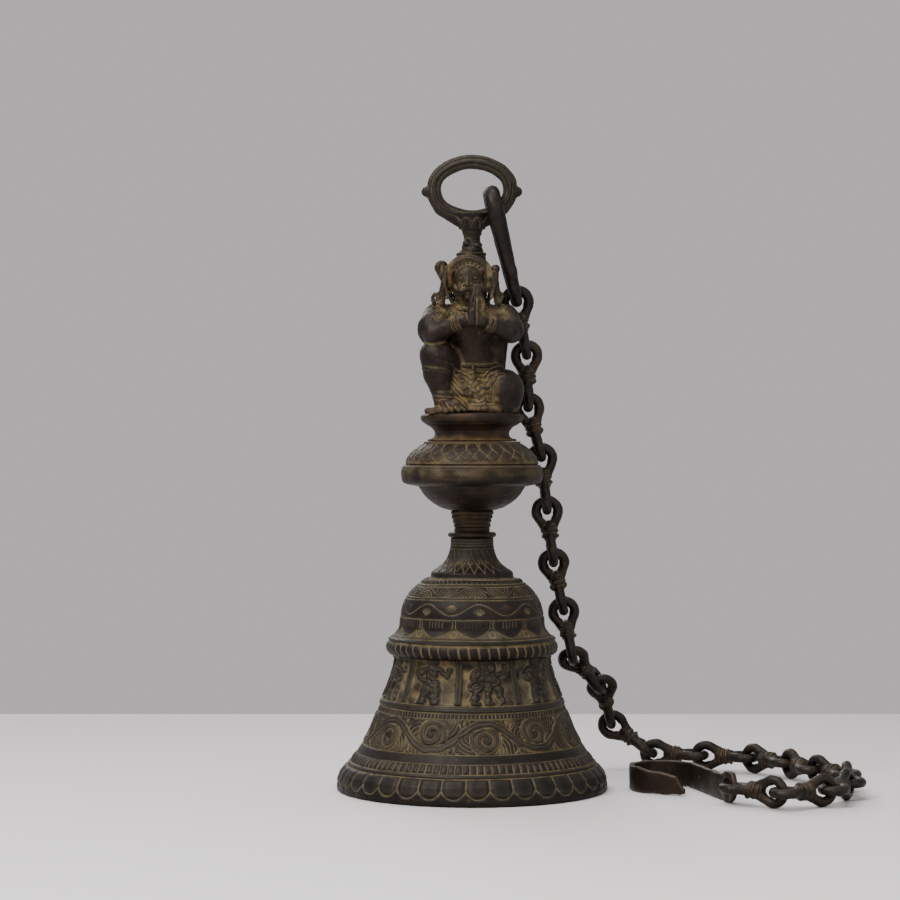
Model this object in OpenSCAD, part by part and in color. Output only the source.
// Brass puja bell with a kneeling figure, a hanging ring, a chain and a strap hook.
// The bell stands on its mouth. Z is up, the origin is the centre of the mouth,
// the figure faces -Y, and the chain runs down on the +X side and along the floor.

/* [Bell cup] */
// Radius of the mouth
mouth_r = 67.4; // [62:0.1:68]
// Height of the bell cup up to its flat top
cup_h = 125.5; // [125:0.1:127]
// Thickness of the cast wall
wall = 3.8; // [3:0.1:4.5]
// Radius of the rope cordon round the waist
cordon_r = 43; // [42:0.1:44]
// Radius of the collar under the neck
collar_r = 10.8; // [10.5:0.1:11.5]

/* [Clapper] */
// Radius of the clapper's ball
ball_r = 9.5; // [7:0.1:11]
// Height of the ball's centre above the mouth
ball_z = 19; // [16:0.1:24]
// Radius of the clapper's shaft
shaft_r = 2.6; // [2:0.1:3.5]

/* [Neck and bulb] */
// Radius of the flange disc on the cup
flange_r = 12; // [11.5:0.1:13]
// Radius of the ribbed neck over its ribs
neck_r = 9.4; // [9:0.1:10]
// Radius of the bulb's belt
bulb_r = 35.2; // [33:0.1:36]
// Radius of the bulb's dome at the seam
dome_r = 33.4; // [32.5:0.1:33.6]
// Radius of the plate that the figure kneels on
plate_r = 25.8; // [24:0.1:27]
// Radius of the tie rod through the bulb
rod_r = 3; // [2.5:0.1:3.5]

/* [Hanging ring] */
// Half width of the ring's centre line
ring_a = 18.7; // [18:0.1:20]
// Half height of the ring's centre line
ring_b = 13.5; // [13:0.1:14]
// Radius of the ring's section
ring_wire = 3.6; // [3.2:0.1:3.8]
// Height of the ring's centre
ring_z = 299.2; // [299:0.1:300]

/* [Chain] */
// Radius of a link's wire
wire_r = 2.2; // [2:0.05:2.3]
// Radius of the centre line of a link's loops
loop_r = 5.4; // [5.3:0.05:5.6]
// Distance from one link to the next
pitch = 27; // [26.5:0.1:27.5]
// Play where two links hook together
play = 0.3; // [0.2:0.05:0.5]
// Radius of the first loop of the first link, which takes the shackle's bar
first_loop_r = 6; // [5.9:0.1:6.2]
// Radius of the shackle's bar where it hangs on the ring
shackle_top_wire = 4.2; // [3.8:0.1:4.3]
// Radius of the shackle's bar at its lower end
shackle_low_wire = 3; // [2.8:0.1:3.1]
// Radius of the centre line of the shackle's round ends
shackle_end = 9; // [8.8:0.1:9.4]

/* [Strap hook] */
// Width of the strap, which stands on its edge
strap_w = 13; // [12:0.1:14]
// Thickness of the strap
strap_t = 2.4; // [2.2:0.1:2.5]
// Radius of the strap's rounded eye end
eye_end_r = 8; // [7.8:0.1:8.2]
// Radius of the eye hole
eye_r = 4; // [3.8:0.1:4.1]
// Length of the strap from the eye to the curl
strap_len = 50; // [46:0.5:54]
// Radius of the curl's centre line
curl_r = 16; // [14:0.1:17]

/* [Hidden] */
$fn = 96;
fn_wire = 32;
fn_body = 24;

// Heights where one piece ends and the next begins, from the bell's mouth up.
flange_top = 128;
neck_top = 139;
seam_z = 161.4;
bulb_top = 171.5;
plate_top = 187;
crown_top = 270;

// The eye of the clapper, its link, and the clapper's own eye hang one in another.
clapper_wire = 1.8;
clapper_link_wire = 1.7;
eye_loop = 5;
eye_z = 93;
clapper_step = clapper_wire + clapper_link_wire + play;
link_pivot_z = eye_z - eye_loop;
clapper_link_half = 6;
clapper_link_top = link_pivot_z + clapper_step - eye_loop;
clapper_pivot_z = clapper_link_top - clapper_link_half - eye_loop;
clapper_eye_z = clapper_pivot_z + clapper_step - eye_loop;
shank_r = 4;
shank_top = 134;

// The ring's centre line is an oval of four arcs: two ends and two long sides.
end_r = 11;
side_r = ((ring_a - end_r) ^ 2 + ring_b ^ 2 - end_r ^ 2) / (2 * (ring_b - end_r));
end_turn = atan2(side_r - ring_b, ring_a - end_r);

// Where the shackle hangs on the ring's wire, low on its right side.
shackle_x = 11.6;
shackle_z = ring_z + side_r - ring_b - sqrt(side_r ^ 2 - shackle_x ^ 2);
shackle_at = [shackle_x, 0, shackle_z];
shackle_play = 1;
shackle_first = -(ring_wire + shackle_top_wire + shackle_play);
shackle_run = 56 - 2 * shackle_end;
shackle_heading = [45, -71];

// Heading and dip of each chain link, from the shackle to the strap hook.
// A heading of 0 is along +X and a dip of -90 is straight down.
headings = [
    [38, -76], [80, -78], [38, -71], [0, -84], [27, -82], [55, -69], [38, -76],
    [43, -36], [70, -49], [0, -35], [-8, -1], [-17, 0], [-48, 0], [-70, 0],
    [-58, 0], [-95, 0], [-116, 0], [-156, 0], [-216, 0]
];
hook_heading = 104;
links = len(headings);

// Distance between the centre lines of a link's two end wires, and of its loops.
link_len = pitch + 2 * wire_r + play;
loop_gap = link_len - 2 * loop_r;

brass_dark = "#4a4030";
brass_dusty = "#7a6636";
brass_worn = "#6b5a34";
iron_dark = "#3a342c";

// A unit vector from a heading and a dip.
function way(h) = [cos(h[0]) * cos(h[1]), sin(h[0]) * cos(h[1]), sin(h[1])];

function unit(v) = v / norm(v);

// v without its part along the unit vector a, at length 1.
function square_to(v, a) = unit(v - (v * a) * a);

// A hooked piece is [the centre of its first loop, the centre of its last loop,
// its direction, the normal of its last loop].
function shackle_piece() =
    let (
        a = way(shackle_heading),
        first = shackle_at + (shackle_first + shackle_end) * a,
        face = square_to([0, 1, 0], a)
    )
    [first, first + shackle_run * a, a, cross(a, face)];

// Link n hangs in the last loop of the piece before it, pulled along its own heading.
function piece(n) =
    n < 0 ? shackle_piece() :
    let (
        held = piece(n - 1),
        a = way(headings[n]),
        held_r = n == 0 ? shackle_end : loop_r,
        held_wire = n == 0 ? shackle_low_wire : wire_r,
        own_r = n == 0 ? first_loop_r : loop_r,
        pull = square_to(a, held[3]),
        first = held[1] + held_r * pull + (own_r - held_wire - wire_r - play) * a,
        last = first + (loop_gap + own_r - loop_r) * a
    )
    [first, last, a, square_to(held[3], a)];

// The roll about a piece's own direction that turns +Z to the normal of its last loop.
function roll_of(p, h) =
    let (
        level = [-sin(h[0]), cos(h[0]), 0],
        up = cross(p[2], level)
    )
    atan2(-(p[3] * level), p[3] * up);

// Points along an arc.
function arc(centre, r, from, to, steps = 8) = [
    for (i = [0 : steps])
        let (a = from + (to - from) * i / steps)
            [centre[0] + r * cos(a), centre[1] + r * sin(a)]
];

// Places its children on a hooked piece: +X along it, +Z square to its last loop.
module placed(p, h) {
    translate(p[0])
        rotate([0, -h[1], h[0]])
            rotate([roll_of(p, h), 0, 0])
                children();
}

module torus(centre_r, r) {
    rotate_extrude()
        translate([centre_r, 0])
            circle(r = r, $fn = fn_wire);
}

// Part of a torus about Z, from one angle through another.
module bend(centre_r, r, from, turn) {
    rotate([0, 0, from])
        rotate_extrude(angle = turn)
            translate([centre_r, 0])
                circle(r = r, $fn = fn_wire);
}

// A round bar along +X between two distances.
module bar(x1, x2, r) {
    translate([x1, 0, 0])
        rotate([0, 90, 0])
            cylinder(r = r, h = x2 - x1, $fn = fn_wire);
}

// ---------------------------------------------------------------- bell cup

lip_z = 9;
waist_r = 38.2;
waist_z = 66;
shoulder_r = 35.8;
shoulder_z = 82;
crown_z = 108;

// The flaring skirt from the lip to the waist, as radius and height.
skirt = [
    [mouth_r, 0], [mouth_r, 2], [mouth_r - 1.7, lip_z], [60.1, 15], [54.1, 24],
    [48.3, 37], [44.7, 46], [40.5, 56], [waist_r, waist_z]
];

// The dome of the shoulder, and the step and concave rise to the collar.
shoulder = concat(
    [[38.6, 76.5], [shoulder_r + 0.4, shoulder_z]],
    arc([shoulder_r - 15.5, 87], 15.5, 0, 68, 7),
    [[20.5, 105.5], [20.5, crown_z]],
    [for (i = [1 : 5]) let (t = i / 5)
        [20 - (20 - collar_r) * (1 - (1 - t) ^ 2), crown_z + 11.5 * t]],
    [[collar_r, cup_h]]
);

module cup_outside() {
    polygon(concat(
        [[0, 0]], skirt,
        [[waist_r, waist_z + 1], [cordon_r - 2, 67.5], [cordon_r, 69.5],
         [cordon_r, 72.5], [cordon_r - 2, 74.5]],
        shoulder, [[0, cup_h]]
    ));
}

module cup_inside() {
    polygon(concat(
        [[0, -1], [mouth_r - wall, -1], [mouth_r - wall, 2]],
        [for (i = [2 : len(skirt) - 1]) skirt[i] - [wall, 0]],
        [[shoulder_r - wall, shoulder_z]],
        arc([shoulder_r - 15.5, 87], 15.5 - wall, 0, 60, 5),
        [[14, 101], [0, 101]]
    ));
}

module bell_cup() {
    color(brass_dark)
        difference() {
            rotate_extrude() cup_outside();
            rotate_extrude() cup_inside();
            translate([0, 0, 95]) cylinder(r = shank_r + 0.05, h = 40);
        }
}

// ---------------------------------------------------------------- clapper

// A screwed shank through the crown, with a washer face and an eye below it.
module clapper_eye() {
    color(iron_dark)
        union() {
            translate([0, 0, 99]) cylinder(r = shank_r, h = shank_top - 99);
            translate([0, 0, 98.5]) cylinder(r = 8, h = 2.5);
            translate([0, 0, eye_z]) rotate([90, 0, 0]) torus(eye_loop, clapper_wire);
        }
}

// A long link in the YZ plane, between the eye and the clapper.
module clapper_link() {
    color(iron_dark)
        translate([0, 0, clapper_link_top])
            rotate([90, 0, 90])
                union() {
                    bend(eye_loop, clapper_link_wire, 0, 180);
                    for (side = [-1, 1])
                        translate([side * eye_loop, -clapper_link_half, 0])
                            rotate([-90, 0, 0])
                                cylinder(r = clapper_link_wire,
                                         h = clapper_link_half, $fn = fn_wire);
                    translate([0, -clapper_link_half, 0])
                        bend(eye_loop, clapper_link_wire, 180, 180);
                }
}

// The clapper's eye and its shaft, which ends in a tang inside the ball.
module clapper_shaft() {
    top = clapper_eye_z - eye_loop;
    color(iron_dark)
        union() {
            translate([0, 0, clapper_eye_z])
                rotate([90, 0, 0])
                    torus(eye_loop, clapper_wire);
            translate([0, 0, ball_z]) cylinder(r = shaft_r, h = top - ball_z);
        }
}

module clapper_ball() {
    color(brass_worn)
        difference() {
            union() {
                translate([0, 0, ball_z]) sphere(r = ball_r);
                translate([0, 0, ball_z - ball_r - 2]) cylinder(r = 3.5, h = 5);
                translate([0, 0, ball_z + ball_r - 2]) cylinder(r = 4.5, h = 4);
            }
            translate([0, 0, ball_z]) cylinder(r = shaft_r + 0.05, h = 20);
        }
}

// ---------------------------------------------------------------- neck and bulb

rib_count = 5;
rib_pitch = (neck_top - flange_top) / rib_count;

module neck_stem() {
    color(brass_dusty)
        difference() {
            union() {
                translate([0, 0, cup_h]) cylinder(r = flange_r, h = flange_top - cup_h);
                translate([0, 0, flange_top])
                    cylinder(r = neck_r - 0.9, h = neck_top - flange_top);
                for (i = [0 : rib_count - 1])
                    translate([0, 0, flange_top + i * rib_pitch + 0.5])
                        cylinder(r = neck_r, h = rib_pitch - 1);
            }
            translate([0, 0, cup_h - 1])
                cylinder(r = shank_r + 0.05, h = shank_top - cup_h + 1);
            translate([0, 0, shank_top]) cylinder(r = rod_r + 0.05, h = 20);
        }
}

// A rod from the neck to the figure clamps the hollow bulb and the plate.
module tie_rod() {
    color(iron_dark)
        translate([0, 0, shank_top])
            cylinder(r = rod_r, h = plate_top + 12 - shank_top);
}

bowl_outside = [[11.5, neck_top], [16, 140.6], [19.8, 142.8], [22.6, 145], [24.8, 147.8],
                [26.6, 150.8], [bulb_r - 1, 151.8], [bulb_r, 153], [bulb_r, seam_z]];

// A bowl with a wide belt, open at the seam.
module bulb_lower() {
    floor_z = neck_top + 3;
    color(brass_dusty)
        difference() {
            rotate_extrude()
                polygon(concat([[0, neck_top]], bowl_outside, [[0, seam_z]]));
            rotate_extrude()
                polygon([[0, floor_z], [13, floor_z + 1], [23.5, 151],
                         [bulb_r - 3.8, 155], [bulb_r - 3.8, seam_z + 1], [0, seam_z + 1]]);
            translate([0, 0, neck_top - 1]) cylinder(r = rod_r + 0.05, h = 10);
        }
}

// The domed lid of the bulb, resting on the belt's rim.
module bulb_upper() {
    color(brass_dusty)
        difference() {
            rotate_extrude()
                polygon([[0, seam_z], [dome_r, seam_z], [dome_r, 163], [31.6, 166.4],
                         [28.6, 169.2], [24.3, bulb_top - 0.4], [24.3, bulb_top],
                         [0, bulb_top]]);
            rotate_extrude()
                polygon([[0, seam_z - 1], [bulb_r - 3.8, seam_z - 1],
                         [bulb_r - 3.8, seam_z], [27, 166], [20, 168.5], [0, 168.5]]);
            translate([0, 0, bulb_top - 10]) cylinder(r = rod_r + 0.05, h = 20);
        }
}

// The round plate that the figure kneels on, over a concave neck.
module seat_plate() {
    edge_z = 181;
    color(brass_dark)
        difference() {
            rotate_extrude()
                polygon(concat(
                    [[0, bulb_top], [20.4, bulb_top], [20.4, 173.5]],
                    arc([24.5, 177.6], 6, 225, 140, 6),
                    [[plate_r - 1, edge_z], [plate_r, edge_z + 1],
                     [plate_r, plate_top - 1], [plate_r - 1, plate_top],
                     [0, plate_top]]
                ));
            translate([0, 0, bulb_top - 1]) cylinder(r = rod_r + 0.05, h = 30);
        }
}

// ---------------------------------------------------------------- figure

// A limb between two points, each with its own radius.
module limb(a, ra, b, rb) {
    hull() {
        translate(a) sphere(r = ra, $fn = fn_body);
        translate(b) sphere(r = rb, $fn = fn_body);
    }
}

// A kneeling figure with joined hands: the knee on -X is raised and the one on +X rests.
module figure() {
    shoulder_z = 235;
    color(brass_dark)
        difference() {
            union() {
                // Trunk, neck, head and crown
                limb([1, 3, 203], 14, [0, 2, 214], 10.5);
                limb([0, 2, 212], 10.5, [0, 1, 231], 12);
                limb([-18, 1, shoulder_z], 7, [18, 1, shoulder_z], 7);
                limb([0, 0, 238], 7, [0, -1, 250], 8.5);
                limb([0, -1, 250], 9.6, [0, 0, 257], 9.6);
                translate([0, 0, 262]) cylinder(r1 = 10.8, r2 = 9.4, h = 4, $fn = 48);
                translate([0, 0, 266]) cylinder(r1 = 9.4, r2 = 5.2, h = 4, $fn = 48);
                limb([-11, 1, 251], 2.2, [-15.2, 1, 261], 2.2);
                limb([10.2, 1, 251], 2, [12.2, 1, 261], 1.8);
                // Arms, with the palms together before the chin
                limb([-19, 0, shoulder_z], 7.4, [-20, -11, 224], 5.4);
                limb([-20, -11, 224], 5.2, [-2, -20, 235], 3.6);
                limb([18, 0, shoulder_z], 7, [21, -8, 225], 5.2);
                limb([21, -8, 225], 5, [4, -20, 234], 3.6);
                limb([1.5, -20, 233], 4, [1.5, -18.5, 249], 2.2);
                // Raised knee, shin and foot
                limb([-7, 2, 203], 9.5, [-18.5, -9, 217], 7.4);
                limb([-18.5, -9, 217], 7, [-14, -10, 192], 4.6);
                limb([-14, -10, 190.4], 3.3, [-6, -20, 190], 2.8);
                // Resting thigh, shin and foot
                limb([8, 3, 200], 11.5, [17, -9, 199], 9);
                limb([16, -8, 195], 7.6, [10, 12, 195], 7);
                limb([3, -12, 190.4], 3.3, [13, -14, 190.4], 3.2);
                // Loincloth over the lap, down to the plate
                limb([0, -4, 201], 10, [2, -8, 195], 7.6);
            }
            translate([-60, -60, plate_top - 60]) cube([120, 120, 60]);
            translate([0, 0, plate_top - 1]) cylinder(r = rod_r + 0.15, h = 13, $fn = 48);
            translate([0, 0, crown_top - 7]) cylinder(r = 2.65, h = 10, $fn = 48);
            translate([-20, -20, crown_top]) cube([40, 40, 20]);
        }
}

// ---------------------------------------------------------------- hanging ring

// One arc of the oval ring, stopping just short of a ball at each of its ends.
module ring_arc(r, from, turn) {
    short = 0.1;
    bend(r, ring_wire, from + short, turn - 2 * short);
    rotate([0, 0, from])
        translate([r, 0, 0])
            sphere(r = ring_wire + 0.03);
}

// An oval ring on a lotus stub, with a tang that goes down into the crown.
module hanging_ring() {
    knob_x = ring_a + ring_wire;
    color(brass_dark)
        union() {
            translate([0, 0, crown_top - 6.9]) cylinder(r = 2.5, h = 10);
            rotate_extrude()
                polygon([[0, crown_top], [6, crown_top], [6, 271.6], [4.5, 274],
                         [4.5, 277], [6, 280.5], [8.7, 285.4], [8.7, 286.6],
                         [0, 286.6]]);
            translate([0, 0, ring_z])
                rotate([90, 0, 0])
                    for (side = [0, 180])
                        rotate([0, 0, side]) {
                            translate([ring_a - end_r, 0, 0])
                                ring_arc(end_r, -end_turn, 2 * end_turn);
                            translate([0, ring_b - side_r, 0])
                                ring_arc(side_r, end_turn, 180 - 2 * end_turn);
                        }
            for (side = [-1, 1])
                translate([side * (knob_x - 1), 0, ring_z])
                    rotate([0, side * 90, 0])
                        cylinder(r = 2.4, h = 3.4);
        }
}

// ---------------------------------------------------------------- chain

// A long closed link of tapered bar: its thick end hangs on the ring's wire.
module shackle() {
    color(iron_dark)
        placed(piece(-1), shackle_heading)
            union() {
                bend(shackle_end, shackle_top_wire, 90, 180);
                for (side = [-1, 1])
                    translate([0, side * shackle_end, 0])
                        rotate([0, 90, 0])
                            cylinder(r1 = shackle_top_wire, r2 = shackle_low_wire,
                                     h = shackle_run, $fn = fn_wire);
                translate([shackle_run, 0, 0])
                    bend(shackle_end, shackle_low_wire, -90, 180);
            }
}

// A cast link: two round loops at right angles, with a banded collar between them.
module chain_link(n) {
    own_r = n == 0 ? first_loop_r : loop_r;
    far_x = loop_gap + own_r - loop_r;
    neck_from = own_r + wire_r;
    neck_to = far_x - loop_r - wire_r;
    color(iron_dark)
        placed(piece(n), headings[n])
            union() {
                rotate([90, 0, 0]) torus(own_r, wire_r);
                translate([far_x, 0, 0]) torus(loop_r, wire_r);
                bar(neck_from - 1.2, neck_to + 1.2, 3.3);
                bar(neck_from + 0.3, neck_to - 0.3, 4.2);
            }
}

// ---------------------------------------------------------------- strap hook

// A flat strap on edge: an eye in its round end, and a curl with a pointed tip.
module strap_hook() {
    tip_len = 17;
    tip_t = strap_t - 0.1;
    turn = 228;
    eye_height = eye_end_r + 0.2;
    held = piece(links - 1);
    eye = held[1] + (loop_r + 0.9) * way([hook_heading, 0]);
    color(brass_worn)
        translate([eye[0], eye[1], 0])
            rotate([0, 0, hook_heading])
                union() {
                    difference() {
                        union() {
                            translate([0, strap_t / 2, eye_height])
                                rotate([90, 0, 0])
                                    cylinder(r = eye_end_r, h = strap_t);
                            translate([2, -strap_t / 2, 0])
                                cube([strap_len - 2, strap_t, strap_w]);
                        }
                        translate([0, strap_t, eye_height])
                            rotate([90, 0, 0])
                                cylinder(r = eye_r, h = 2 * strap_t);
                    }
                    translate([strap_len, curl_r, 0])
                        rotate([0, 0, -90]) {
                            rotate_extrude(angle = turn)
                                translate([curl_r - strap_t / 2, 0])
                                    square([strap_t, strap_w]);
                            // The tip is a hair thinner than the curl and starts inside it
                            rotate([0, 0, turn])
                                translate([curl_r + tip_t / 2, 0, 0])
                                    rotate([90, 0, -90])
                                        mirror([1, 0, 0])
                                            linear_extrude(tip_t)
                                                polygon([[-0.3, 0.05], [tip_len - 5, 0.05],
                                                         [tip_len, 4.5],
                                                         [tip_len - 7, strap_w - 0.05],
                                                         [-0.3, strap_w - 0.05]]);
                        }
                }
}

bell_cup();
clapper_eye();
clapper_link();
clapper_shaft();
clapper_ball();
neck_stem();
tie_rod();
bulb_lower();
bulb_upper();
seat_plate();
figure();
hanging_ring();
shackle();
chain_link(0);  // link_01
chain_link(1);  // link_02
chain_link(2);  // link_03
chain_link(3);  // link_04
chain_link(4);  // link_05
chain_link(5);  // link_06
chain_link(6);  // link_07
chain_link(7);  // link_08
chain_link(8);  // link_09
chain_link(9);  // link_10
chain_link(10);  // link_11
chain_link(11);  // link_12
chain_link(12);  // link_13
chain_link(13);  // link_14
chain_link(14);  // link_15
chain_link(15);  // link_16
chain_link(16);  // link_17
chain_link(17);  // link_18
chain_link(18);  // link_19
strap_hook();
